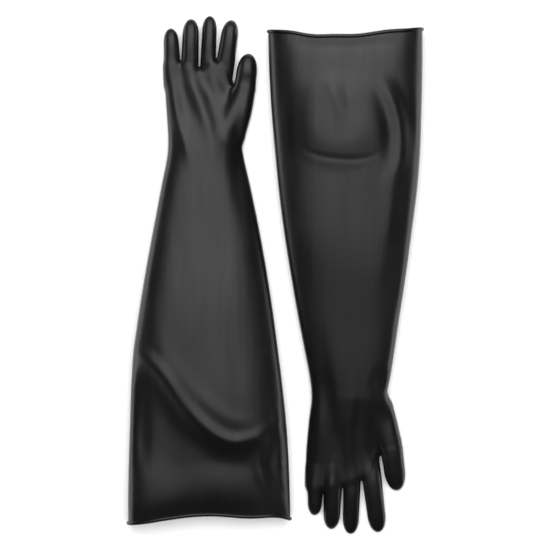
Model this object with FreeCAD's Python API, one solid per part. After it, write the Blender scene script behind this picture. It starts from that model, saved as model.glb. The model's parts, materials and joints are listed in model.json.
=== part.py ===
"""A pair of long rubber insulating gauntlets lying palm up on the floor, head to tail.

Each glove is one dipped rubber film in life.  Here it is divided at the lines where it bends:
a rolled cuff bead, an upper sleeve, a forearm sleeve, a hand, and two stalls for each digit.
Row frame: +Z up, floor at z = 0, +Y from the right glove's cuff to its fingertips.
Glove frame: origin on the floor under the middle of the wrist line, +Y to the fingertips,
+X towards the thumb, +Z up.  The left glove is the right one's pattern mirrored in Y.
"""
import FreeCAD, Part
import math
import os
from collections import namedtuple

from FreeCAD import Vector

# Driving dimensions, in millimetres and degrees
LENGTH = 813.0             # cuff edge to middle fingertip
HAND_LENGTH = 223.0        # wrist line to middle fingertip
ELBOW_TO_TIP = 466.0       # elbow line to middle fingertip
FILM = 1.5                 # rubber wall
CLEARANCE = 1.0            # gap left at each bending line
STAGGER = 8.0              # each glove lies this far towards its own fingertips
BEAD_RADIUS = 2.8          # rolled cuff bead
BEAD_STAND_OUT = 1.5       # how far the bead stands outside the sleeve
BEAD_CLEARANCE = 0.2       # gap between the bead and the sleeve film
CUFF_HEIGHT = 70.0         # loft of the empty sleeve where it lies on the floor
WRIST_HEIGHT = 46.0
PALM_FRONT_HEIGHT = 34.0
PALM_FRONT = 134.0         # wrist line to the front of the palm
PALM_MIDDLE = 62.0
PALM_FRONT_WIDTH = 112.0
PALM_FRONT_SHIFT = -10.0   # the palm leans away from the thumb
HEEL_DEPTH = 30.0          # how far each finger runs back inside the palm
MOUND_HEEL = Vector(42.0, 34.0, 0.0)
MOUND_HEEL_RADIUS = 21.0
THUMB_SWING = 35.0         # the thumb's hinge is turned this far towards the palm
THUMB_CLEARANCE = 0.4      # gap between the thumb's side and the palm's
NOSE_RATIO = 2.4           # length of a fingertip's rounded nose over its radius
STALL_TAPER = 0.94         # radius where the nose starts over the radius at the root
TIP_JOINT_SHARE = 0.46     # place of the middle joint between a finger's root and tip
NOSE_SHARE_LIMIT = 0.8     # longest nose as a share of the digit's length
PALM_MIDDLE_SHARE = 0.92   # height of the middle of the palm over the wrist's

# Cross-section of the sleeve and palm: a superellipse cut flat where it rests on the floor
SECTION_POWER = 2.5
SECTION_POINTS = 16
FLOOR_SINK = 5.0

LENGTHWISE = Vector(0, 1, 0)
UP = Vector(0, 0, 1)
WRIST_FROM_CUFF = LENGTH - HAND_LENGTH
CUFF_Y = -WRIST_FROM_CUFF
ELBOW_Y = HAND_LENGTH - ELBOW_TO_TIP
BIG = 2000.0

Digit = namedtuple("Digit", "name root tip diameter swing")
Glove = namedtuple("Glove", "side wrist_x mirrored cuff_width wrist_width cuff_shift digits")


def digit(name, root, tip, diameter, swing=0.0):
    """A finger or thumb: plan points of its root joint and tip, and its diameter at the root."""
    return Digit(name, Vector(root[0], root[1], 0), Vector(tip[0], tip[1], 0), diameter, swing)


RIGHT_GLOVE = Glove(
    side="right", wrist_x=-111.0, mirrored=False,
    cuff_width=258.0, wrist_width=120.0, cuff_shift=5.0,
    digits=(
        digit("thumb", (62, 107), (69, 162), 35, THUMB_SWING),
        digit("index", (32, 154), (41, 216), 28),
        digit("middle", (3, 152), (6, 223), 26),
        digit("ring", (-25, 152), (-23, 218), 28),
        digit("little", (-53, 152), (-55, 203), 25),
    ),
)
LEFT_GLOVE = Glove(
    side="left", wrist_x=119.5, mirrored=True,
    cuff_width=246.0, wrist_width=122.0, cuff_shift=-7.5,
    digits=(
        digit("thumb", (64, 88), (73, 153), 36, THUMB_SWING),
        digit("index", (35, 138), (45, 220), 30),
        digit("middle", (3, 150), (1, 223), 27),
        digit("ring", (-27, 157), (-29, 215), 28),
        digit("little", (-55, 157), (-56, 193), 24),
    ),
)


def taper(y, at_wrist, at_cuff):
    """A sleeve size at distance y along the glove: a parabola that levels out at the cuff."""
    share = y / CUFF_Y
    return at_wrist + (at_cuff - at_wrist) * (1 - (1 - share) ** 2)


def signed_power(value, power):
    return math.copysign(abs(value) ** power, value)


def oval(y, x_middle, z_middle, half_width, half_height):
    """A closed superellipse across the glove at distance y."""
    points = []
    for i in range(SECTION_POINTS):
        angle = 2 * math.pi * (i + 0.5) / SECTION_POINTS
        x = half_width * signed_power(math.cos(angle), 2 / SECTION_POWER)
        z = half_height * signed_power(math.sin(angle), 2 / SECTION_POWER)
        points.append(Vector(x_middle + x, y, z_middle + z))
    curve = Part.BSplineCurve()
    curve.interpolate(points, PeriodicFlag=True)
    return Part.Wire([curve.toShape()])


def above(shape, floor):
    """The part of a shape that is higher than floor."""
    corner = Vector(-BIG / 2, -BIG / 2, floor)
    return shape.common(Part.makeBox(BIG, BIG, BIG, corner))


def ahead_of(shape, point, normal):
    """The part of a shape on the normal's side of an upright plane through point."""
    slab = Part.makeBox(BIG, BIG, BIG, Vector(0, -BIG / 2, -BIG / 2))
    turn = FreeCAD.Rotation(Vector(1, 0, 0), normal)
    slab.Placement = FreeCAD.Placement(point, turn)
    return shape.common(slab)


def tube(stations, inset, floor):
    """A loft through stations of (y, x middle, width, height), made thinner by inset."""
    wires = []
    for y, x_middle, width, height in stations:
        half_height = (height + FLOOR_SINK) / 2
        z_middle = height - half_height
        wires.append(oval(y, x_middle, z_middle, width / 2 - inset, half_height - inset))
    return above(Part.makeLoft(wires, True, False), floor)


def sleeve_station(glove, y):
    shift = glove.cuff_shift * y / CUFF_Y
    width = taper(y, glove.wrist_width, glove.cuff_width)
    return (y, shift, width, taper(y, WRIST_HEIGHT, CUFF_HEIGHT))


def sleeve(glove, y_from, y_to):
    """An open length of sleeve between two distances along the glove."""
    y_middle = (y_from + y_to) / 2
    outside = [sleeve_station(glove, y) for y in (y_from, y_middle, y_to)]
    inside = [sleeve_station(glove, y) for y in (y_from - FILM, y_middle, y_to + FILM)]
    return tube(outside, 0, 0).cut(tube(inside, FILM, FILM))


def cuff_bead(glove):
    """The rolled edge round the cuff's mouth: a round roll swept along the mouth's oval."""
    half_width = glove.cuff_width / 2 + BEAD_STAND_OUT - BEAD_RADIUS
    height = CUFF_HEIGHT + BEAD_STAND_OUT
    path = oval(
        CUFF_Y + BEAD_RADIUS, glove.cuff_shift, height / 2, half_width, height / 2 - BEAD_RADIUS)
    curve = path.Edges[0].Curve
    start = curve.value(curve.FirstParameter)
    along = curve.tangent(curve.FirstParameter)[0]
    roll = Part.Wire([Part.Circle(start, along, BEAD_RADIUS).toShape()])
    return path.makePipeShell([roll], True, True)


def nose_arc(side, tip):
    """A quarter ellipse in the XY plane from a stall's side round to its tip."""
    bend = math.radians(45)
    over = Vector(side.x * math.cos(bend), side.y + (tip.y - side.y) * math.sin(bend), 0)
    curve = Part.BSplineCurve()
    curve.interpolate(
        [side, over, tip], InitialTangent=LENGTHWISE, FinalTangent=Vector(-1, 0, 0))
    return curve.toShape()


def stall(piece, heel_run, inset):
    """A whole digit, from heel_run behind its root to its tip, made thinner by inset."""
    radius = piece.diameter / 2
    run = piece.tip - piece.root
    nose = min(radius * NOSE_RATIO, run.Length * NOSE_SHARE_LIMIT)
    heel = Vector(radius - inset, -heel_run, 0)
    shoulder = Vector(radius * STALL_TAPER - inset, run.Length - nose, 0)
    tip = Vector(0, run.Length - inset, 0)
    axis_heel = Vector(0, -heel_run, 0)
    edges = [
        Part.makeLine(axis_heel, heel),
        Part.makeLine(heel, shoulder),
        nose_arc(shoulder, tip),
        Part.makeLine(tip, axis_heel),
    ]
    solid = Part.Face(Part.Wire(edges)).revolve(Vector(0, 0, 0), LENGTHWISE, 360)
    turn = FreeCAD.Rotation(LENGTHWISE, run)
    solid.Placement = FreeCAD.Placement(piece.root + UP * radius, turn)
    return solid


def forward(piece):
    """The plan direction that a digit's root hinge faces; the thumb's faces the palm."""
    if piece.swing:
        return FreeCAD.Rotation(UP, -piece.swing).multVec(LENGTHWISE)
    return (piece.tip - piece.root).normalize()


def middle_joint(piece):
    return piece.root + (piece.tip - piece.root) * TIP_JOINT_SHARE


def stall_shell(piece):
    """The hollow film of a whole digit."""
    return stall(piece, HEEL_DEPTH, 0).cut(stall(piece, HEEL_DEPTH, FILM))


def stall_base(piece):
    """A digit's film from its root joint to its middle joint."""
    facing = forward(piece)
    gap = facing * (CLEARANCE / 2)
    grown = ahead_of(stall_shell(piece), piece.root + gap, facing)
    return ahead_of(grown, middle_joint(piece) - gap, facing * -1)


def stall_tip(piece):
    """A digit's closed end, beyond its middle joint."""
    facing = forward(piece)
    return ahead_of(stall_shell(piece), middle_joint(piece) + facing * (CLEARANCE / 2), facing)


def behind_root(shape, piece, inset):
    """The part of a shape behind a digit's root joint; an inside runs through the joint."""
    facing = forward(piece)
    overrun = inset - CLEARANCE / 2
    return ahead_of(shape, piece.root + facing * overrun, facing * -1)


def heel(piece, inset):
    """The stretch of a digit that runs back inside the palm from its root joint."""
    return behind_root(stall(piece, HEEL_DEPTH, inset), piece, inset)


def thumb_mound(piece, inset):
    """The swelling at the base of the thumb: a round bar that tapers to the root joint."""
    run = piece.root - MOUND_HEEL
    bar = Part.makeCone(
        MOUND_HEEL_RADIUS - inset, piece.diameter / 2 - inset, run.Length,
        MOUND_HEEL + UP * MOUND_HEEL_RADIUS, run)
    return behind_root(bar, piece, inset)


def palm_slab(glove, inset, floor):
    """The flat body of the hand between the wrist line and the roots of the fingers."""
    stations = [
        (CLEARANCE / 2 - inset, 0, glove.wrist_width, WRIST_HEIGHT),
        (PALM_MIDDLE, PALM_FRONT_SHIFT / 2, PALM_FRONT_WIDTH, WRIST_HEIGHT * PALM_MIDDLE_SHARE),
        (PALM_FRONT - inset, PALM_FRONT_SHIFT, PALM_FRONT_WIDTH, PALM_FRONT_HEIGHT),
    ]
    return tube(stations, inset, floor)


def palm(glove):
    """The hand's film with its finger stubs and thumb mound, open at every joint."""
    outside = palm_slab(glove, 0, 0)
    inside = palm_slab(glove, FILM, FILM)
    for piece in glove.digits:
        outside = outside.fuse(heel(piece, 0))
        inside = inside.fuse(heel(piece, FILM))
    thumb = glove.digits[0]
    outside = outside.fuse(thumb_mound(thumb, 0))
    inside = inside.fuse(thumb_mound(thumb, FILM))
    return outside.cut(inside)


def placed(shape, glove):
    """A piece in the glove frame moved to where its glove lies on the floor."""
    if glove.mirrored:
        shape = shape.mirror(Vector(0, 0, 0), LENGTHWISE)
    wrist_y = LENGTH / 2 - HAND_LENGTH + STAGGER
    shape.translate(Vector(glove.wrist_x, -wrist_y if glove.mirrored else wrist_y, 0))
    return shape


def glove_pieces(glove):
    """Every separate piece of one glove, by name, in the glove frame."""
    gap = CLEARANCE / 2
    sleeve_start = CUFF_Y + 2 * BEAD_RADIUS + BEAD_CLEARANCE
    pieces = {
        "cuff_bead": cuff_bead(glove),
        "upper_sleeve": sleeve(glove, sleeve_start, ELBOW_Y - gap),
        "forearm_sleeve": sleeve(glove, ELBOW_Y + gap, -gap),
        "palm": palm(glove),
    }
    for piece in glove.digits:
        pieces[piece.name + "_base"] = stall_base(piece)
        pieces[piece.name + "_tip"] = stall_tip(piece)
    beside_palm = palm_slab(glove, -THUMB_CLEARANCE, 0)
    pieces["thumb_base"] = pieces["thumb_base"].cut(beside_palm)
    return pieces


os.makedirs("parts", exist_ok=True)
for glove in (RIGHT_GLOVE, LEFT_GLOVE):
    for name, shape in glove_pieces(glove).items():
        placed(shape, glove).exportStep(f"parts/{glove.side}_{name}.step")
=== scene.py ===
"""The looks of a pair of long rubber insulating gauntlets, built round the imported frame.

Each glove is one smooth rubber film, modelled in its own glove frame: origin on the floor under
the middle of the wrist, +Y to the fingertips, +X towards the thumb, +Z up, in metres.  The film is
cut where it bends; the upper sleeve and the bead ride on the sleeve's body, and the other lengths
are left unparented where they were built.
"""

import itertools
import json
import math
from collections import namedtuple

import bmesh
import bpy
import numpy as np
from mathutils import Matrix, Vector


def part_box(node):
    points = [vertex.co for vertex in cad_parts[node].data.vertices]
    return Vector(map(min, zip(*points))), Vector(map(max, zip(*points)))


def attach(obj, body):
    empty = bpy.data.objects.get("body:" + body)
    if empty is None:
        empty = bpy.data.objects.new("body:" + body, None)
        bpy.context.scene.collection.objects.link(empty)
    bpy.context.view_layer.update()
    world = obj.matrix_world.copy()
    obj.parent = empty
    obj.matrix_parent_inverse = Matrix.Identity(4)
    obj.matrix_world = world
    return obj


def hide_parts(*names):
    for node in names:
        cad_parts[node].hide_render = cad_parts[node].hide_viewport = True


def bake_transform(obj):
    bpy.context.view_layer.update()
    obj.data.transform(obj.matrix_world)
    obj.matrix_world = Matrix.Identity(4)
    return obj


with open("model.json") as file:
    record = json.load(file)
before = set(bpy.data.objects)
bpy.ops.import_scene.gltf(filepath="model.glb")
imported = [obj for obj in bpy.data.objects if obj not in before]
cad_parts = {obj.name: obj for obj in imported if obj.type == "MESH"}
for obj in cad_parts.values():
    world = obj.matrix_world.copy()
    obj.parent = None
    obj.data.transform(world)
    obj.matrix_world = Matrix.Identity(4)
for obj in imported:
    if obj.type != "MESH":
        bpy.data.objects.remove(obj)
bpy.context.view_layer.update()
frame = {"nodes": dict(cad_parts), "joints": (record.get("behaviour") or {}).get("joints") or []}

# Sizes in metres
FILM = 0.0015                # rubber wall
GRID = 0.0020     # spacing at which the glove's shape is sampled
FLOOR_SINK = 0.005           # how far the oval is cut flat by the floor
FLOOR_EDGE = 0.003           # softness of the flattened underside's edge
FLOOR_CLEARANCE = 0.0002     # the bead's least height over the floor

WRIST_SAG = 0.84             # height of the empty wrist over its rigid piece's
WRIST_FULLNESS = 0.97        # width of the empty wrist over its rigid piece's
WRIST_SOFTNESS = 0.035       # share of the sleeve over which it turns into the wrist
HAND_START = -0.03           # where along the glove the thumb's mound and the digits may start

PACKED_STAND_OUT = 0.0015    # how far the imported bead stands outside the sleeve
BEAD_RADIUS = 0.0032
BEAD_STAND_OUT = 0.0030      # how far the roll stands outside the film
BEAD_STEPS = 260             # round the mouth
BEAD_TURNS = 14              # round the roll
BEAD_SMOOTHING = 4
MOUTH_DEPTH = 0.03           # how far the wavy mouth may lie from its furthest point

ELBOW_ZONE = 0.070           # half the length of sleeve that bends at the elbow
WRIST_ZONE = 0.032           # and at the wrist
KNUCKLE_SHARE = 0.7          # share of a digit's base that bends at the knuckle

WEB_SOFTNESS = 0.0018        # fillet between two digits
PALM_SOFTNESS = 0.009        # fillet between a digit and the palm
MOUND_SOFTNESS = 0.016       # fillet between the thumb's mound and the palm
THUMB_GAP_SOFTNESS = 0.0008  # fillet between the thumb and the palm beyond the crotch
CROTCH_RUN = 0.012           # run over which the palm's fillet turns into the gap's
NOSE_RATIO = 2.2             # length of a digit's rounded nose over its radius
NOSE_SHARE_LIMIT = 0.85      # longest share of a digit that its nose may take
NOSE_BLUNTNESS = 1.3         # power by which the nose closes: higher is blunter
NOSE_REACH = 0.0015          # how far a digit reaches past its rigid piece's tip
DIGIT_POWER = 2.4            # squareness of its section
HEEL_REACH = 0.036           # how far a finger runs back inside the palm
STALL_TAPER = 0.94           # radius of a digit at its nose over that at its root

CREASE_FADE = 0.38           # share of a crease over which each end dies away
DROP_RUN = 1.8               # run of a crease's drop over its width
DROP_HOLD = 0.3              # share of its reach over which a drop stays full
DOME_FOOT = 1.25             # where a dome ends, over its spread
SLOW_WAVE = 0.0006           # height of the film's faint waves
LOWEST_SHARE = 0.35          # a fold never sinks the film below this share of its height
RIM_FALL = 0.10              # share of its height by which the film sinks at the mouth
RIM_REACH = 0.024            # run over which it sinks
CUFF_WAVE_REACH = 0.045      # run over which the mouth's waves die away

# How the surface is sampled and settled
SIDE_MARGIN = 0.02           # room round the glove in the sampled block
LOW_MARGIN = 0.006
HIGH_MARGIN = 0.01
SLOPE_STEP = 1e-5
LEAST_SLOPE = 0.05           # keeps a point on a nearly level spot from leaping away
FIRST_SETTLING = 4
SMOOTHING_ROUNDS = 3
SETTLING_ROUNDS = 2
CUT_REACH = 3                # a cut looks at faces within this many grid steps
OFF_AXIS = 1e-9              # these two keep powers and roots away from zero
TINY = 1e-12

# The rubber's pattern
STREAK_SCALE, STREAK_STRETCH = 60, (1, 0.06, 1)
BLOOM_SCALE = 9
GRAIN_SCALE, GRAIN_DETAIL = 900, 2
BLOOM_SHEEN = 0.03           # how far the bloom changes the roughness
STREAK_SHEEN = 0.05          # and how far the streaks do
STREAK_RELIEF, GRAIN_RELIEF = 0.8, 0.12
BUMP_DEPTH, BUMP_STRENGTH = 0.0004, 0.5
NOISE_LOW, NOISE_HIGH = 0.3, 0.7    # the part of the noise's range that the pattern uses

# The overhead light: strips across the pair that get brighter from the front to the back
STRIP_POWERS = (0.15, 1.2, 3.9, 4.1, 4.8, 7.0)
STRIPS_FROM = -0.9
STRIP_DEPTH = 0.425
STRIP_WIDTH = 1.6
STRIP_HEIGHT = 1.9

# The other lights: place, size and power of each box
FRONT_BOX = (0, 2.0, 1.55), (2.0, 0.9), 9
SIDE_BOX_DISTANCE = 1.8
SIDE_BOX_Y, SIDE_BOX_HEIGHT = 0.1, 0.27
SIDE_BOX_SIZE, SIDE_BOX_POWER = (2.2, 0.5), 10
FLOOR_FILL = (0, 0, 3.0), (4, 4), 170
ROOM_GLOW = 0.05             # light from the room on the gloves
ROOM_SEEN = 0.9              # brightness of the backdrop behind them

# The floor and the camera straight above
FLOOR_SIZE = 12
FLOOR_GAP = 0.0006           # the floor lies this much below the gloves
FLOOR_TONE, FLOOR_ROUGHNESS = 0.86, 0.9
LENS = 200
FAR_CLIP = 50
FRAME_WIDTH = 0.880          # width in view at the gloves' upper side
FOCUS_HEIGHT = 0.03          # height of that side

# Palm outline: share of the palm's length, then the two edges and the height over the wrist's
PALM_OUTLINE = (
    (0.00, -1.00, 1.00, 1.00),
    (0.20, -1.01, 0.88, 0.93),
    (0.42, -1.04, 0.76, 0.81),
    (0.62, -1.08, 0.74, 0.69),
    (0.80, -1.11, 0.75, 0.59),
    (0.97, -1.12, 0.76, 0.53),
    (1.20, -1.12, 0.76, 0.50),
)
DIGITS = ("thumb", "index", "middle", "ring", "little")
FINGERS = DIGITS[1:]

# A digit in plan: its three stations, the way its joints face, its radius, and its height along it
Digit = namedtuple("Digit", "name root bend tip facing radius profile")
# The thumb's mound: where it starts at the heel of the hand, its radius there, and its swelling
Mound = namedtuple("Mound", "heel radius swell")
# A fold: its path, the rise of its ridge, its width, and the drop and its reach on the path's left
Crease = namedtuple("Crease", "path rise width drop reach")
Dome = namedtuple("Dome", "centre spread rise edge")


def smoothstep(low, high, value):
    t = np.clip((value - low) / (high - low), 0, 1)
    return t * t * (3 - 2 * t)


def smooth_min(a, b, softness):
    share = np.clip(0.5 + 0.5 * (b - a) / softness, 0, 1)
    return b + (a - b) * share - softness * share * (1 - share)


def smooth_max(a, b, softness):
    return -smooth_min(-a, -b, softness)


def smooth_curve(stations, value, level_ends=True):
    """A cubic curve through (value, result) stations, flat beyond both ends."""
    xs, ys = np.array(stations, float).T
    slopes = np.gradient(ys, xs)
    if level_ends:
        slopes[[0, -1]] = 0
    value = np.clip(value, xs[0], xs[-1])
    i = np.clip(np.searchsorted(xs, value) - 1, 0, len(xs) - 2)
    run = xs[i + 1] - xs[i]
    t = (value - xs[i]) / run
    start = ys[i] * (1 + 2 * t) * (1 - t) ** 2 + slopes[i] * run * t * (1 - t) ** 2
    end = ys[i + 1] * t ** 2 * (3 - 2 * t) + slopes[i + 1] * run * t ** 2 * (t - 1)
    return start + end


class Glove:
    """One glove's sizes in its own frame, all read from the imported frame."""

    def __init__(self, side, squareness, edges, fits, profile, mound, crotch, webs, cuff_waves,
                 creases, domes):
        """Takes the shape's own numbers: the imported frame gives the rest.

        squareness: power of the oval's left and right half
        edges: y, then how far the left and right edge stand out past the plain outline
        fits: each digit's shift to the side and added radius
        profile: distance along a digit, then its height over its width
        crotch: y of the thumb's crotch
        webs: x, then y of the palm's front edge
        cuff_waves: place over the cuff's half width, spread, and how far the mouth draws in
        """
        self.side = side
        self.squareness = squareness
        self.edges = edges
        self.fits = fits
        self.profile = profile
        self.mound = mound
        self.crotch = crotch
        self.webs = webs
        self.cuff_waves = cuff_waves
        self.creases = creases
        self.domes = domes
        self.joints = {j["name"]: j for j in frame["joints"] if j["name"].startswith(side)}
        wrist = self.joints[side + "_wrist"]
        self.flip = 1.0 if wrist["axis"][0] > 0 else -1.0
        self.origin = np.array([wrist["pos_m"][0], wrist["pos_m"][1], 0.0])
        self.elbow = self.local(self.joints[side + "_elbow"]["pos_m"])[1]
        low, high = self.local_box("cuff_bead")
        self.cuff = low[1]
        self.cuff_middle = (low[0] + high[0]) / 2
        self.cuff_half = (high[0] - low[0]) / 2 - PACKED_STAND_OUT
        self.cuff_height = high[2] - PACKED_STAND_OUT
        low, high = self.end_box("forearm_sleeve", 0.0)
        self.wrist_half = (high[0] - low[0]) / 2
        self.wrist_height = high[2] * WRIST_SAG
        self.digits = {name: self.digit(name) for name in DIGITS}
        self.palm_length = np.mean([self.digits[name].root[1] for name in FINGERS])

    def local(self, point):
        """A row-frame point in the glove frame."""
        return (np.array(point, float) - self.origin) * np.array([1, self.flip, 1])

    def row(self, points):
        """Glove-frame points in the row frame."""
        return np.asarray(points, float) * np.array([1, self.flip, 1]) + self.origin

    def direction(self, axis):
        """The plan direction that a hinge's child side faces."""
        return np.array([-axis[1], axis[0] * self.flip])

    def local_box(self, node):
        """The box of one of this glove's rigid pieces, in the glove frame."""
        corners = [self.local(c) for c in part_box(f"{self.side}_{node}")]
        return np.min(corners, axis=0), np.max(corners, axis=0)

    def end_box(self, node, y):
        """The box of a node's vertices that lie at distance y along the glove."""
        mesh = frame["nodes"][f"{self.side}_{node}"].data
        points = np.array([self.local(v.co) for v in mesh.vertices])
        points = points[abs(points[:, 1] - y) < FILM]
        return points.min(0), points.max(0)

    def digit(self, name):
        """A digit's stations and thickness from its joints and rigid pieces."""
        knuckle = self.joints[f"{self.side}_{name}_knuckle"]
        root = self.local(knuckle["pos_m"])[:2]
        bend = self.local(self.joints[f"{self.side}_{name}_bend"]["pos_m"])[:2]
        along = (bend - root) / np.linalg.norm(bend - root)
        base_low, base_high = self.local_box(name + "_base")
        tip_low, tip_high = self.local_box(name + "_tip")
        tip = root + along * ((tip_high[1] - root[1]) / along[1] + NOSE_REACH)
        shift, fullness = self.fits[name]
        lean = np.array([shift, 0])
        radius = (base_high[2] - base_low[2]) / 2 + fullness
        facing = self.direction(knuckle["axis"])
        profile = self.profile
        if name == "thumb":
            profile = [station for station in profile if station[0] >= 0]
        return Digit(name, root + lean, bend + lean, tip + lean, facing, radius, profile)

    def section(self, y):
        """Half width, middle and height of the sleeve or palm at distances y."""
        share = y / self.cuff
        share = (share + np.sqrt(share ** 2 + WRIST_SOFTNESS ** 2)) / 2
        rise = 1 - (1 - share) ** 2
        wrist = self.wrist_half * WRIST_FULLNESS
        half = wrist + (self.cuff_half - wrist) * rise
        height = self.wrist_height + (self.cuff_height - self.wrist_height) * rise
        middle = self.cuff_middle * np.clip(y / self.cuff, 0, 1)
        along = np.clip(y, 0, None) / self.palm_length
        left, right, squash = (
            smooth_curve([(s[0], s[i]) for s in PALM_OUTLINE], along) for i in (1, 2, 3))
        nudge_left, nudge_right = (
            smooth_curve([(e[0], e[i]) for e in self.edges], y) for i in (1, 2))
        left, right = left * half - nudge_left, right * half + nudge_right
        return (right - left) / 2, middle + (right + left) / 2, height * squash


def tube(glove, p):
    """Rough distance to the sleeve's and palm's oval tube, negative inside."""
    half, middle, height = glove.section(p[..., 1])
    half_height = (height + FLOOR_SINK) / 2
    power = np.where(p[..., 0] < middle, *glove.squareness)
    x = np.abs(p[..., 0] - middle) / half + OFF_AXIS
    z = np.abs(p[..., 2] - height + half_height) / half_height + OFF_AXIS
    radius = (x ** power + z ** power) ** (1 / power)
    slope = np.hypot((x / radius) ** (power - 1) / half, (z / radius) ** (power - 1) / half_height)
    return (radius - 1) / slope


def rounded_square(a, b):
    """Distance from the middle of a digit's section, level round a rounded square."""
    return (a ** DIGIT_POWER + b ** DIGIT_POWER + TINY) ** (1 / DIGIT_POWER)


def stall(digit, p):
    """Rough distance to a digit: a limp bar from inside the palm to a blunt nose."""
    run = digit.tip - digit.root
    length = np.linalg.norm(run)
    run = run / length
    nose = min(digit.radius * NOSE_RATIO, length * NOSE_SHARE_LIMIT)
    flat = p[..., :2] - digit.root
    along = flat @ run
    aside = flat @ np.array([run[1], -run[0]])
    lift = p[..., 2] / smooth_curve(digit.profile, along) - digit.radius
    across = rounded_square(abs(aside), abs(lift))
    nose_start = length - nose
    radius = digit.radius * (1 - (1 - STALL_TAPER) * np.clip(along / nose_start, 0, 1))
    beyond = (np.clip(along - nose_start, 0, None) / nose) ** NOSE_BLUNTNESS
    reach = 0 if digit.name == "thumb" else HEEL_REACH
    behind = np.clip(-reach - along, 0, None) / radius
    return (np.hypot(across / radius, beyond + behind) - 1) * radius


def mound(glove, p):
    """Rough distance to the swelling between the wrist and the root of the thumb."""
    thumb = glove.digits["thumb"]
    heel = np.array(glove.mound.heel)
    run = thumb.root - heel
    length = np.linalg.norm(run)
    flat = p[..., :2] - heel
    share = np.clip((flat @ run) / length ** 2, 0, 1)
    hump = 16 * glove.mound.swell * share ** 2 * (1 - share) ** 2     # swell at the middle
    radius = glove.mound.radius + (thumb.radius - glove.mound.radius) * share + hump
    aside = np.linalg.norm(flat - share[..., None] * run, axis=-1)
    lift = abs(p[..., 2] / thumb.profile[0][1] - radius)
    return rounded_square(aside, lift) - radius


def glove_distance(glove, p):
    """Rough distance to the whole glove, negative inside; the cuff's end is left open."""
    front = smooth_curve(glove.webs, p[..., 0])
    palm = smooth_max(tube(glove, p), p[..., 1] - front, PALM_SOFTNESS)
    hand = smooth_min(palm, mound(glove, p), MOUND_SOFTNESS)
    fingers = stall(glove.digits["index"], p)
    for name in FINGERS[1:]:
        fingers = smooth_min(fingers, stall(glove.digits[name], p), WEB_SOFTNESS)
    hand = smooth_min(hand, fingers, PALM_SOFTNESS)
    past_crotch = smoothstep(glove.crotch - CROTCH_RUN, glove.crotch, p[..., 1])
    softness = PALM_SOFTNESS + (THUMB_GAP_SOFTNESS - PALM_SOFTNESS) * past_crotch
    hand = smooth_min(hand, stall(glove.digits["thumb"], p), softness)
    near = smoothstep(HAND_START, 0.0, p[..., 1])
    return smooth_max(palm + (hand - palm) * near, -p[..., 2], FLOOR_EDGE)


def surface_net(field, origin, step):
    """Quads round the negative part of a sampled field, one vertex in each crossed cell."""
    inside = field < 0
    size = np.array(field.shape)
    count = np.zeros(size - 1, int)
    for corner in itertools.product((0, 1), repeat=3):
        count += inside[tuple(slice(c, n - 1 + c) for c, n in zip(corner, size))]
    crossed = (count > 0) & (count < 8)
    number = np.full(crossed.shape, -1)
    number[crossed] = np.arange(crossed.sum())
    points = origin + (np.argwhere(crossed) + 0.5) * step
    quads = []
    for axis in range(3):
        lower = [slice(1, -1)] * 3
        upper = list(lower)
        lower[axis], upper[axis] = slice(0, -1), slice(1, None)
        below, above = inside[tuple(lower)], inside[tuple(upper)]
        second, third = (axis + 1) % 3, (axis + 2) % 3
        for solid, order in ((below & ~above, (0, 1, 2, 3)), (above & ~below, (3, 2, 1, 0))):
            cell = np.argwhere(solid)
            ring = []
            for back_second, back_third in ((0, 0), (1, 0), (1, 1), (0, 1)):
                at = cell.copy()
                at[:, second] += back_second
                at[:, third] += back_third
                ring.append(number[tuple(at.T)])
            quads.append(np.stack([ring[i] for i in order], axis=1))
    return points, np.concatenate(quads)


def settle(glove, points, rounds):
    """Moves points onto the glove's surface along its slope."""
    for _ in range(rounds):
        value = glove_distance(glove, points)
        slope = np.stack([
            (glove_distance(glove, points + SLOPE_STEP * unit) - value) / SLOPE_STEP
            for unit in np.eye(3)
        ], axis=1)
        points = points - slope * (value / (slope ** 2).sum(1).clip(LEAST_SLOPE))[:, None]
    return points


def relax(points, quads):
    """Each point moved halfway to the middle of its neighbours."""
    ends = np.concatenate([quads[:, [i, (i + 1) % 4]] for i in range(4)])
    total = np.zeros_like(points)
    count = np.zeros(len(points))
    for a, b in ((0, 1), (1, 0)):
        np.add.at(total, ends[:, a], points[ends[:, b]])
        np.add.at(count, ends[:, a], 1)
    return (points + total / count[:, None]) / 2


def glove_surface(glove):
    """The glove's outer surface, open at the cuff, as points and quads."""
    low = np.array([-glove.cuff_half - SIDE_MARGIN, glove.cuff - LOW_MARGIN, -LOW_MARGIN])
    low[0] += glove.cuff_middle
    tip = max(d.tip[1] for d in glove.digits.values())
    side = glove.cuff_half + SIDE_MARGIN + glove.cuff_middle
    high = np.array([side, tip + HIGH_MARGIN, glove.cuff_height + HIGH_MARGIN])
    axes = [np.arange(a, b, GRID) for a, b in zip(low, high)]
    field = np.empty([len(a) for a in axes], np.float32)
    for i, x in enumerate(axes[0]):
        y, z = np.meshgrid(axes[1], axes[2], indexing="ij")
        field[i] = glove_distance(glove, np.stack([np.full_like(y, x), y, z], axis=-1))
    points, quads = surface_net(field, low, GRID)
    points = settle(glove, points, FIRST_SETTLING)
    for _ in range(SMOOTHING_ROUNDS):
        points = settle(glove, relax(points, quads), SETTLING_ROUNDS)
    return points, quads


def spline(path, count=60):
    """Points at even steps of the parameter on a smooth curve through the path's points."""
    path = np.array(path, float)
    at = np.arange(len(path))
    wanted = np.linspace(0, len(path) - 1, count)
    return np.stack([
        smooth_curve(list(zip(at, path[:, i])), wanted, level_ends=False) for i in (0, 1)
    ], axis=1)


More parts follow.
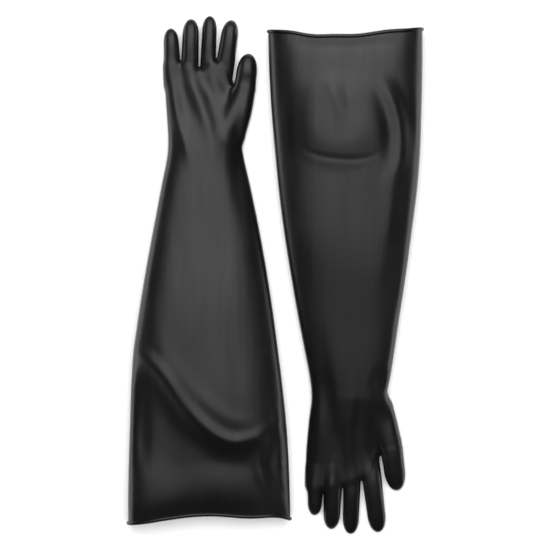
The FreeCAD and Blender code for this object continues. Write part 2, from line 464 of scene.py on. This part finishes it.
def beside(path, flat):
    """Signed distance from plan points to a curve, positive on its left, and the share along it."""
    line = spline(path)
    best = np.full(len(flat), np.inf)
    signed = np.zeros(len(flat))
    share = np.zeros(len(flat))
    for i, (start, end) in enumerate(zip(line, line[1:])):
        run = end - start
        offset = flat - start
        t = np.clip(offset @ run / (run @ run), 0, 1)
        gap = np.linalg.norm(offset - t[:, None] * run, axis=1)
        side = np.sign(run[0] * offset[:, 1] - run[1] * offset[:, 0])
        closer = gap < best
        best[closer] = gap[closer]
        signed[closer] = (side * gap)[closer]
        share[closer] = (i + t[closer]) / (len(line) - 1)
    return signed, share


def crease_height(crease, flat):
    """How far a crease lifts the film: a ridge on its line, and a drop on the line's left."""
    signed, share = beside(crease.path, flat)
    ends = smoothstep(0, CREASE_FADE, share) * smoothstep(0, CREASE_FADE, 1 - share)
    ridge = crease.rise * np.exp(-(signed / crease.width) ** 2)
    drop = 1 - np.exp(-(np.clip(signed, 0, None) / (DROP_RUN * crease.width)) ** 2)
    if crease.reach:
        drop = drop * (1 - smoothstep(crease.reach * DROP_HOLD, crease.reach, signed))
    return ends * (ridge - crease.drop * drop)


def dome_height(dome, flat):
    """A swelling with an oval foot: edge 0 is a soft hill, and towards 1 a flat-topped cushion."""
    away = np.linalg.norm((flat - np.array(dome.centre)) / np.array(dome.spread), axis=1)
    return dome.rise * (1 - smoothstep(dome.edge, DOME_FOOT, away))


def slow_waves(x, y):
    """The faint unevenness of a limp film: long waves, in radians to the metre."""
    return np.sin(17 * y + 3 * x + 1.1) * np.cos(23 * x + 0.4) + np.sin(31 * y - 9 * x + 2.0)


def dress(glove, points):
    """The film's folds, hollows and wavy cuff on top of its smooth shape."""
    flat = points[:, :2]
    half, middle, height = glove.section(points[:, 1])
    rise = sum(crease_height(crease, flat) for crease in glove.creases)
    rise = rise + sum(dome_height(dome, flat) for dome in glove.domes)
    x, y = flat.T
    rise = rise + SLOW_WAVE * slow_waves(x, y)
    points = points.copy()
    points[:, 2] *= np.clip(1 + rise / height, LOWEST_SHARE, None)
    across = (points[:, 0] - middle) / half
    wave = sum(
        size * np.exp(-((across - centre) / width) ** 2)
        for centre, width, size in glove.cuff_waves)
    points[:, 1] += wave * np.exp(-(y - glove.cuff) / CUFF_WAVE_REACH)
    points[:, 2] *= 1 - RIM_FALL * np.exp(-((y - glove.cuff) / RIM_REACH) ** 2)
    return points


def face_middles(bm):
    """The faces and their middles in plan."""
    faces = list(bm.faces)
    return faces, np.array([face.calc_center_median()[:2] for face in faces])


def cut(bm, accepts, place, facing):
    """Adds an edge loop where an upright plane crosses the faces that it accepts."""
    faces, middles = face_middles(bm)
    near = np.abs((middles - np.array(place)) @ np.array(facing)) < CUT_REACH * GRID
    near[near] = accepts(middles[near])
    crossed = [faces[i] for i in np.flatnonzero(near)]
    parts = set(crossed)
    for face in crossed:
        parts.update(face.verts)
        parts.update(face.edges)
    bmesh.ops.bisect_plane(
        bm, geom=list(parts), dist=1e-6, plane_co=(*place, 0), plane_no=(*facing, 0))


def digit_cuts(digit):
    """The plan points where a digit's base and tip pieces start and stop bending."""
    share = (digit.bend - digit.root) * KNUCKLE_SHARE
    return digit.root, digit.root + share, digit.bend * 2 - digit.root - share


def nearest_digit(glove, middles):
    """The number of the digit whose side is closest to each plan point."""
    gaps = []
    for digit in glove.digits.values():
        run = digit.tip - digit.root
        share = np.clip((middles - digit.root) @ run / (run @ run), 0, 1)
        away = np.linalg.norm(middles - digit.root - share[:, None] * run, axis=1)
        gaps.append(away - digit.radius)
    return np.argmin(gaps, axis=0)


def piece_names(glove, middles):
    """The piece that each face belongs to, from the faces' middles."""
    y = middles[:, 1]
    names = np.where(y > -WRIST_ZONE, "palm", "forearm_sleeve").astype("U20")
    names[y < glove.elbow - ELBOW_ZONE] = "upper_sleeve"
    nearest = nearest_digit(glove, middles)
    for i, digit in enumerate(glove.digits.values()):
        root, bend, _ = digit_cuts(digit)
        mine = (nearest == i) & (y > 0)
        names[mine & ((middles - root) @ digit.facing > 0)] = digit.name + "_base"
        names[mine & ((middles - bend) @ digit.facing > 0)] = digit.name + "_tip"
    return names


def cut_glove(glove):
    """The glove's outer surface with an edge loop at every place where pieces meet."""
    points, quads = glove_surface(glove)
    whole = bpy.data.meshes.new("whole")
    whole.from_pydata(points, [], quads.tolist())
    bm = bmesh.new()
    bm.from_mesh(whole)
    bpy.data.meshes.remove(whole)
    mouth = glove.cuff + BEAD_RADIUS
    for y in (mouth, glove.elbow - ELBOW_ZONE, -WRIST_ZONE):
        cut(bm, lambda middles: True, (0, y), (0, 1))
    for i, digit in enumerate(glove.digits.values()):
        for place in digit_cuts(digit)[:2]:
            cut(bm, lambda middles, i=i: nearest_digit(glove, middles) == i, place, digit.facing)
    stray = [face for face in bm.faces if face.calc_center_median().y < mouth]
    bmesh.ops.delete(bm, geom=stray, context="FACES")
    return bm


def glove_pieces(glove):
    """The dressed film as pieces: name to (points, normals, faces), in the row frame."""
    bm = cut_glove(glove)
    members = {}
    all_faces, middles = face_middles(bm)
    for face, name in zip(all_faces, piece_names(glove, middles)):
        members.setdefault(str(name), []).append(face)
    dressed = glove.row(dress(glove, np.array([v.co for v in bm.verts])))
    for vertex, place in zip(bm.verts, dressed):
        vertex.co = place
    if glove.flip < 0:
        bmesh.ops.reverse_faces(bm, faces=bm.faces)
    bm.normal_update()
    pieces = {}
    for name, faces in members.items():
        verts = list({v: None for face in faces for v in face.verts})
        number = {v: i for i, v in enumerate(verts)}
        pieces[name] = (
            np.array([v.co for v in verts]),
            np.array([v.normal for v in verts]),
            [[number[v] for v in face.verts] for face in faces],
        )
    bm.free()
    return pieces


def edge_of(faces):
    """The directed edges that only one face uses."""
    used = {}
    for face in faces:
        for a, b in zip(face, face[1:] + face[:1]):
            if (b, a) in used:
                del used[(b, a)]
            else:
                used[(a, b)] = True
    return list(used)


def film_object(name, points, normals, faces):
    """A closed film: the outer surface, its inner copy one wall deep, and the rims between."""
    count = len(points)
    inner = points - normals * FILM
    rims = [[b, a, a + count, b + count] for a, b in edge_of(faces)]
    lining = [[i + count for i in reversed(face)] for face in faces]
    mesh = bpy.data.meshes.new(name)
    mesh.from_pydata(np.concatenate([points, inner]), [], faces + lining + rims)
    mesh.shade_smooth()
    smooth = np.concatenate([normals, -normals])
    loops = np.empty(len(mesh.loops), np.int32)
    mesh.loops.foreach_get("vertex_index", loops)
    mesh.normals_split_custom_set(smooth[loops])
    obj = bpy.data.objects.new(name, mesh)
    bpy.context.scene.collection.objects.link(obj)
    return obj


def mouth_loop(points, faces, y_test):
    """The ordered points of a piece's open edge that y_test accepts."""
    onward = dict(edge_of(faces))
    start = next(a for a in onward if y_test(points[a]))
    loop = [start]
    while onward[loop[-1]] != start:
        loop.append(onward[loop[-1]])
    return points[loop]


def even_loop(loop, count, rounds):
    """A closed loop resampled at even steps and smoothed."""
    steps = np.linalg.norm(np.roll(loop, -1, axis=0) - loop, axis=1)
    at = np.concatenate([[0], np.cumsum(steps)])
    closed = np.concatenate([loop, loop[:1]])
    wanted = np.linspace(0, at[-1], count, endpoint=False)
    even = np.stack([np.interp(wanted, at, closed[:, i]) for i in range(3)], axis=1)
    for _ in range(rounds):
        even = (np.roll(even, 1, axis=0) + 2 * even + np.roll(even, -1, axis=0)) / 4
    return even


def cuff_bead(glove, points, faces):
    """The rolled edge: a round roll that follows the film's open edge."""
    outward = np.array([0, -glove.flip, 0])
    mouth_y = (points[:, 1] * glove.flip).min()
    mouth = mouth_loop(points, faces, lambda p: p[1] * glove.flip < mouth_y + MOUTH_DEPTH)
    loop = even_loop(mouth, BEAD_STEPS, BEAD_SMOOTHING)
    ahead = np.roll(loop, -1, axis=0) - np.roll(loop, 1, axis=0)
    ahead /= np.linalg.norm(ahead, axis=1)[:, None]
    side = np.cross(ahead, outward)
    side /= np.linalg.norm(side, axis=1)[:, None]
    middle = loop.mean(0)
    side *= np.sign(((loop - middle) * side).sum(1))[:, None]
    centre = loop + side * (BEAD_STAND_OUT - BEAD_RADIUS)
    verts = []
    for i in range(BEAD_TURNS):
        angle = 2 * math.pi * i / BEAD_TURNS
        verts.append(centre + BEAD_RADIUS * (math.cos(angle) * side + math.sin(angle) * outward))
    verts = np.stack(verts, axis=1).reshape(-1, 3)
    verts[:, 2] = np.maximum(verts[:, 2], FLOOR_CLEARANCE)

    def corner(step, turn):
        return step % len(loop) * BEAD_TURNS + turn % BEAD_TURNS

    faces = [
        [corner(i, j), corner(i, j + 1), corner(i + 1, j + 1), corner(i + 1, j)]
        for i in range(len(loop)) for j in range(BEAD_TURNS)
    ]
    mesh = bpy.data.meshes.new(f"{glove.side}_cuff_bead_roll")
    mesh.from_pydata(verts, [], faces)
    bm = bmesh.new()
    bm.from_mesh(mesh)
    bmesh.ops.recalc_face_normals(bm, faces=bm.faces)
    bm.to_mesh(mesh)
    bm.free()
    mesh.shade_smooth()
    obj = bpy.data.objects.new(mesh.name, mesh)
    bpy.context.scene.collection.objects.link(obj)
    return obj


def rubber(name, tone, gloss):
    """Black dipped rubber: faint lengthwise streaks, a fine grain, dusty bloom and uneven sheen."""
    material = bpy.data.materials.new(name)
    material.use_nodes = True
    nodes, links = material.node_tree.nodes, material.node_tree.links
    shader = nodes["Principled BSDF"]
    place = nodes.new("ShaderNodeTexCoord").outputs["Object"]

    def noise(scale, stretch=(1, 1, 1), detail=4):
        mapping = nodes.new("ShaderNodeMapping")
        mapping.inputs["Scale"].default_value = stretch
        links.new(place, mapping.inputs["Vector"])
        texture = nodes.new("ShaderNodeTexNoise")
        texture.inputs["Scale"].default_value = scale
        texture.inputs["Detail"].default_value = detail
        links.new(mapping.outputs["Vector"], texture.inputs["Vector"])
        return texture.outputs["Fac"]

    def ramp(value, low, high):
        node = nodes.new("ShaderNodeMapRange")
        node.inputs["From Min"].default_value = NOISE_LOW
        node.inputs["From Max"].default_value = NOISE_HIGH
        node.inputs["To Min"].default_value = low
        node.inputs["To Max"].default_value = high
        links.new(value, node.inputs["Value"])
        return node.outputs["Result"]

    def add(a, b):
        node = nodes.new("ShaderNodeMath")
        for i, value in enumerate((a, b)):
            links.new(value, node.inputs[i])
        return node.outputs["Value"]

    streaks = noise(STREAK_SCALE, STREAK_STRETCH)
    bloom = noise(BLOOM_SCALE)
    grain = noise(GRAIN_SCALE, detail=GRAIN_DETAIL)
    mix = nodes.new("ShaderNodeMix")
    mix.data_type = "RGBA"
    mix.inputs["A"].default_value = (tone, tone * 1.03, tone * 1.08, 1)
    mix.inputs["B"].default_value = (tone * 2.0, tone * 2.0, tone * 1.9, 1)
    links.new(ramp(bloom, 0, 1), mix.inputs["Factor"])
    links.new(mix.outputs["Result"], shader.inputs["Base Color"])
    sheen = add(
        ramp(bloom, gloss - BLOOM_SHEEN, gloss + BLOOM_SHEEN),
        ramp(streaks, -STREAK_SHEEN, STREAK_SHEEN))
    links.new(sheen, shader.inputs["Roughness"])
    bump = nodes.new("ShaderNodeBump")
    bump.inputs["Distance"].default_value = BUMP_DEPTH
    bump.inputs["Strength"].default_value = BUMP_STRENGTH
    relief = add(ramp(streaks, 0, STREAK_RELIEF), ramp(grain, 0, GRAIN_RELIEF))
    links.new(relief, bump.inputs["Height"])
    links.new(bump.outputs["Normal"], shader.inputs["Normal"])
    return material


def facing_part(run, facing):
    """The part of a plan run that lies along facing."""
    return facing * (run @ facing)


def bending_pieces(glove):
    """Each bending piece's two bodies and the plan points between which it bends."""
    sleeve, forearm, hand = (f"{glove.side}_{body}" for body in ("sleeve", "forearm", "hand"))
    elbow_start, elbow_end = glove.elbow - ELBOW_ZONE, glove.elbow + ELBOW_ZONE
    bends = {
        "forearm_sleeve": (sleeve, forearm, (0, elbow_start), (0, elbow_end)),
        "palm": (forearm, hand, (0, -WRIST_ZONE), (0, WRIST_ZONE)),
    }
    for digit in glove.digits.values():
        base, tip = f"{glove.side}_{digit.name}_base", f"{glove.side}_{digit.name}_tip"
        start, middle, end = digit_cuts(digit)
        knuckle_end = start + facing_part(middle - start, digit.facing)
        bend_end = middle + facing_part(end - middle, digit.facing)
        bends[digit.name + "_base"] = (hand, base, start, knuckle_end)
        bends[digit.name + "_tip"] = (base, tip, middle, bend_end)
    return bends


def ride_pieces(glove, film, roll):
    """Gives every piece of one glove its looks; only the upper sleeve and the bead ride on the
    sleeve's body.
    """
    side = glove.side
    pieces = glove_pieces(glove)
    bead = cuff_bead(glove, pieces["upper_sleeve"][0], pieces["upper_sleeve"][2])
    bead.data.materials.append(roll)
    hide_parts(side + "_cuff_bead")
    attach(bead, side + "_sleeve")
    bends = bending_pieces(glove)
    for name, (points, normals, faces) in pieces.items():
        obj = film_object(f"{side}_{name}_film", points, normals, faces)
        obj.data.materials.append(film)
        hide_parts(f"{side}_{name}")
        if name in bends:
            first, second, start, end = bends[name]
            glove.row((*start, 0))
            glove.row((*end, 0))
            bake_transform(obj)
        else:
            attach(obj, side + "_sleeve")


def area_light(name, place, target, size, power, glossy=True):
    light = bpy.data.lights.new(name, "AREA")
    light.shape = "RECTANGLE"
    light.size, light.size_y = size
    light.energy = power
    obj = bpy.data.objects.new(name, light)
    obj.location = place
    obj.rotation_euler = (Vector(target) - Vector(place)).to_track_quat("-Z", "Y").to_euler()
    obj.visible_camera = False
    obj.visible_glossy = glossy
    bpy.context.scene.collection.objects.link(obj)


def plain_material(name, colour, roughness):
    material = bpy.data.materials.new(name)
    material.use_nodes = True
    shader = material.node_tree.nodes["Principled BSDF"]
    shader.inputs["Base Color"].default_value = (*colour, 1)
    shader.inputs["Roughness"].default_value = roughness
    return material


def studio():
    """A white floor, soft boxes over and beside the pair, and a camera straight above."""
    scene = bpy.context.scene
    bpy.ops.mesh.primitive_plane_add(size=FLOOR_SIZE, location=(0, 0, -FLOOR_GAP))
    floor = bpy.context.object
    floor.name = "floor"
    floor.data.materials.append(
        plain_material("floor_white", (FLOOR_TONE, FLOOR_TONE, FLOOR_TONE), FLOOR_ROUGHNESS))
    middle = (0, 0, 0)
    for i, power in enumerate(STRIP_POWERS):
        y = STRIPS_FROM + (i + 0.5) * STRIP_DEPTH
        place = (0, y, STRIP_HEIGHT)
        area_light(f"overhead_strip_{i}", place, (0, y, 0), (STRIP_WIDTH, STRIP_DEPTH), power)
    place, size, power = FRONT_BOX
    area_light("front_box", place, middle, size, power)
    for name, x in (("left_box", -SIDE_BOX_DISTANCE), ("right_box", SIDE_BOX_DISTANCE)):
        area_light(name, (x, SIDE_BOX_Y, SIDE_BOX_HEIGHT), middle, SIDE_BOX_SIZE, SIDE_BOX_POWER)
    place, size, power = FLOOR_FILL
    area_light("floor_fill", place, middle, size, power, glossy=False)
    world = bpy.data.worlds.new("studio")
    world.use_nodes = True
    background = world.node_tree.nodes["Background"]
    background.inputs["Color"].default_value = (0.9, 0.91, 0.92, 1)
    seen = world.node_tree.nodes.new("ShaderNodeLightPath").outputs["Is Camera Ray"]
    strength = world.node_tree.nodes.new("ShaderNodeMapRange")
    strength.inputs["To Min"].default_value = ROOM_GLOW
    strength.inputs["To Max"].default_value = ROOM_SEEN
    world.node_tree.links.new(seen, strength.inputs["Value"])
    world.node_tree.links.new(strength.outputs["Result"], background.inputs["Strength"])
    scene.world = world
    scene.view_settings.view_transform = "Standard"
    camera = bpy.data.cameras.new("camera")
    camera.lens = LENS
    camera.clip_end = FAR_CLIP
    height = FRAME_WIDTH / 2 / math.tan(camera.angle / 2) + FOCUS_HEIGHT
    obj = bpy.data.objects.new("camera", camera)
    obj.location = (0, 0, height)
    scene.collection.objects.link(obj)
    scene.camera = obj


RIGHT = Glove(
    "right",
    squareness=(3.1, 2.05),
    edges=(
        (-0.540, 0.000, 0.0010), (-0.430, 0.001, 0.0013), (-0.353, 0.0037, 0),
        (-0.315, 0.0046, -0.0005), (-0.277, 0.0036, -0.0005), (-0.200, 0.0018, -0.0002),
        (-0.085, 0.0006, 0.0005), (-0.030, 0.001, 0.0005), (0.000, 0.0005, -0.0005),
        (0.025, 0.0003, -0.0010), (0.060, 0.001, 0), (0.120, 0.0008, 0.0),
    ),
    fits={
        "thumb": (0.0002, 0.0012), "index": (0.0004, 0.0012), "middle": (0.0006, -0.0002),
        "ring": (-0.0006, 0.0005), "little": (-0.0014, 0.0011),
    },
    profile=(
        (-0.042, 0.58), (-0.015, 0.71), (0.006, 0.82), (0.030, 0.93), (0.050, 0.92), (0.070, 0.86),
    ),
    mound=Mound((0.0470, 0.034), 0.0172, 0.0018),
    crotch=0.098,
    webs=(
        (-0.060, 0.148), (-0.0395, 0.148), (-0.011, 0.138), (0.0175, 0.148), (0.030, 0.140),
        (0.045, 0.105),
    ),
    cuff_waves=(
        (-0.95, 0.30, -0.0030), (0.0, 0.68, 0.0145), (0.85, 0.30, 0.0085), (1.02, 0.10, -0.003),
    ),
    creases=(
        # the main drape, its step down to the cuff, and the fainter fold ahead of it
        Crease(((0.240, -0.330), (0.150, -0.400), (0.108, -0.430), (0.079, -0.449), (0.045, -0.456),
                (0.010, -0.440), (-0.030, -0.401), (-0.063, -0.354), (-0.085, -0.330),
                (-0.112, -0.312), (-0.170, -0.285), (-0.260, -0.250)),
               0.0034, 0.0120, 0.0115, 0.24),
        Crease(((0.140, -0.360), (0.090, -0.418), (0.045, -0.422), (0.000, -0.392),
                (-0.035, -0.354), (-0.068, -0.305), (-0.095, -0.240)),
               0.0011, 0.0130, 0.0016, 0.060),
        # the branch from the end of the drape to the corner of the cuff
        Crease(((0.098, -0.425), (0.090, -0.465), (0.086, -0.495), (0.100, -0.535),
                (0.130, -0.590)),
               0.0044, 0.0120, 0, 0),
        # creases along the edges of the sleeve
        Crease(((0.105, -0.370), (0.118, -0.430), (0.119, -0.500), (0.126, -0.590)),
               0.0030, 0.0090, 0, 0),
        Crease(((-0.100, -0.350), (-0.100, -0.430), (-0.100, -0.530)), -0.0034, 0.0150, 0, 0),
        # ridges and valleys that run from the webs of the fingers to the wrist
        Crease(((-0.036, 0.165), (-0.024, 0.118), (-0.006, 0.076), (0.008, 0.030), (0.012, -0.040)),
               0.0024, 0.0110, 0, 0),
        Crease(((-0.043, 0.175), (-0.039, 0.125), (-0.030, 0.080), (-0.016, 0.030)),
               -0.0026, 0.0150, 0, 0),
        Crease(((-0.057, 0.165), (-0.053, 0.105), (-0.044, 0.052), (-0.030, 0.010),
                (-0.018, -0.050)),
               0.0022, 0.0090, 0, 0),
        Crease(((-0.012, 0.160), (-0.006, 0.122), (0.008, 0.095), (0.018, 0.050)),
               -0.0024, 0.0110, 0, 0),
        Crease(((0.018, 0.175), (0.014, 0.135), (0.020, 0.095)), 0.0014, 0.0090, 0, 0),
        # the hollow under the thumb's crotch and the groove round its mound
        Crease(((0.058, 0.080), (0.056, 0.046), (0.052, 0.010), (0.054, -0.040), (0.066, -0.150)),
               -0.0036, 0.0120, 0, 0),
        Crease(((0.022, 0.115), (0.033, 0.078), (0.032, 0.045), (0.024, 0.005)),
               0.0020, 0.0110, 0, 0),
    ),
    domes=(
        Dome((-0.060, -0.450), (0.045, 0.090), -0.0040, 0.0),
        Dome((0.020, -0.535), (0.080, 0.040), 0.0030, 0.0),
        Dome((0.0, -0.610), (0.150, 0.090), -0.0060, 0.0),
    ),
)
LEFT = Glove(
    "left",
    squareness=(2.05, 2.9),
    edges=(
        (-0.567, 0, 0), (-0.452, -0.0004, 0.0003), (-0.375, -0.0010, 0.0014),
        (-0.337, -0.0010, 0.0012), (-0.260, -0.0016, -0.0011), (-0.183, -0.0025, -0.0020),
        (-0.106, -0.0029, -0.0022), (-0.068, -0.0030, -0.0012), (-0.029, -0.0026, -0.0005),
        (0.009, 0.0000, -0.0015), (0.035, 0.0032, 0.001), (0.073, 0.0048, -0.0005),
        (0.120, 0.0040, -0.0015),
    ),
    fits={
        "thumb": (0.0036, 0.0008), "index": (0.0015, 0.0010), "middle": (0.0009, 0.0007),
        "ring": (0.0, 0.0010), "little": (0.0, 0.0011),
    },
    profile=(
        (-0.042, 0.70), (-0.012, 0.79), (0.008, 0.80), (0.030, 0.73), (0.055, 0.62), (0.080, 0.54),
    ),
    mound=Mound((0.0540, 0.022), 0.0168, 0.0006),
    crotch=0.081,
    webs=(
        (-0.060, 0.152), (-0.041, 0.152), (-0.013, 0.146), (0.0190, 0.134), (0.032, 0.126),
        (0.048, 0.085),
    ),
    cuff_waves=(
        (-0.92, 0.30, 0.006), (-0.45, 0.28, 0.0095), (0.08, 0.52, 0.0155), (0.80, 0.25, 0.0035),
    ),
    creases=(
        # the crease across the sleeve where its puffed middle ends
        Crease(((-0.088, -0.404), (-0.060, -0.385), (-0.018, -0.3765), (0.026, -0.378),
                (0.058, -0.396)),
               -0.0008, 0.0050, 0, 0),
        # the fold down the thumb side, with a valley on each side of it
        Crease(((0.020, -0.560), (0.037, -0.514), (0.058, -0.487), (0.075, -0.453), (0.082, -0.415),
                (0.080, -0.375), (0.069, -0.335), (0.063, -0.260), (0.056, -0.160)),
               0.0028, 0.0125, 0, 0),
        Crease(((0.034, -0.515), (0.050, -0.470), (0.062, -0.425), (0.063, -0.385),
                (0.054, -0.335)),
               -0.0020, 0.0120, 0, 0),
        Crease(((0.060, -0.530), (0.080, -0.488), (0.094, -0.445), (0.098, -0.405),
                (0.094, -0.340)),
               -0.0020, 0.0120, 0, 0),
        # the short pucker on the crown of the sleeve
        Crease(((-0.034, -0.515), (-0.025, -0.478), (-0.010, -0.430)), 0.0014, 0.0100, 0, 0),
        Crease(((-0.010, -0.508), (0.000, -0.472), (0.016, -0.435)), -0.0010, 0.0100, 0, 0),
        # the long dent on the thumb side above the wrist
        Crease(((0.086, -0.310), (0.076, -0.235), (0.067, -0.175), (0.058, -0.100)),
               -0.0020, 0.0160, 0, 0),
        # ridges and valleys of the hand
        Crease(((0.007, 0.165), (0.001, 0.112), (-0.002, 0.070), (0.003, 0.020), (0.006, -0.060)),
               0.0022, 0.0090, 0, 0),
        Crease(((0.018, 0.135), (0.010, 0.090), (0.010, 0.050), (0.020, 0.000)),
               -0.0024, 0.0090, 0, 0),
        Crease(((-0.012, 0.150), (-0.019, 0.085), (-0.031, 0.030), (-0.045, -0.040),
                (-0.056, -0.130)),
               -0.0032, 0.0140, 0, 0),
        Crease(((-0.030, 0.175), (-0.028, 0.130), (-0.026, 0.090)), 0.0016, 0.0080, 0, 0),
        Crease(((-0.056, 0.175), (-0.053, 0.120), (-0.050, 0.060), (-0.050, 0.000)),
               0.0014, 0.0090, 0, 0),
        Crease(((0.044, 0.135), (0.040, 0.092), (0.033, 0.060), (0.029, 0.015)),
               -0.0026, 0.0120, 0, 0),
    ),
    domes=(
        Dome((-0.018, -0.440), (0.078, 0.072), 0.0042, 0.45),
        Dome((0.0, -0.610), (0.150, 0.110), -0.0080, 0.0),
        Dome((0.050, -0.018), (0.018, 0.026), -0.0045, 0.0),
    ),
)
film = rubber("rubber_film", 0.0022, 0.33)
roll = rubber("bead_rubber", 0.002, 0.25)
for glove in (RIGHT, LEFT):
    ride_pieces(glove, film, roll)
studio()
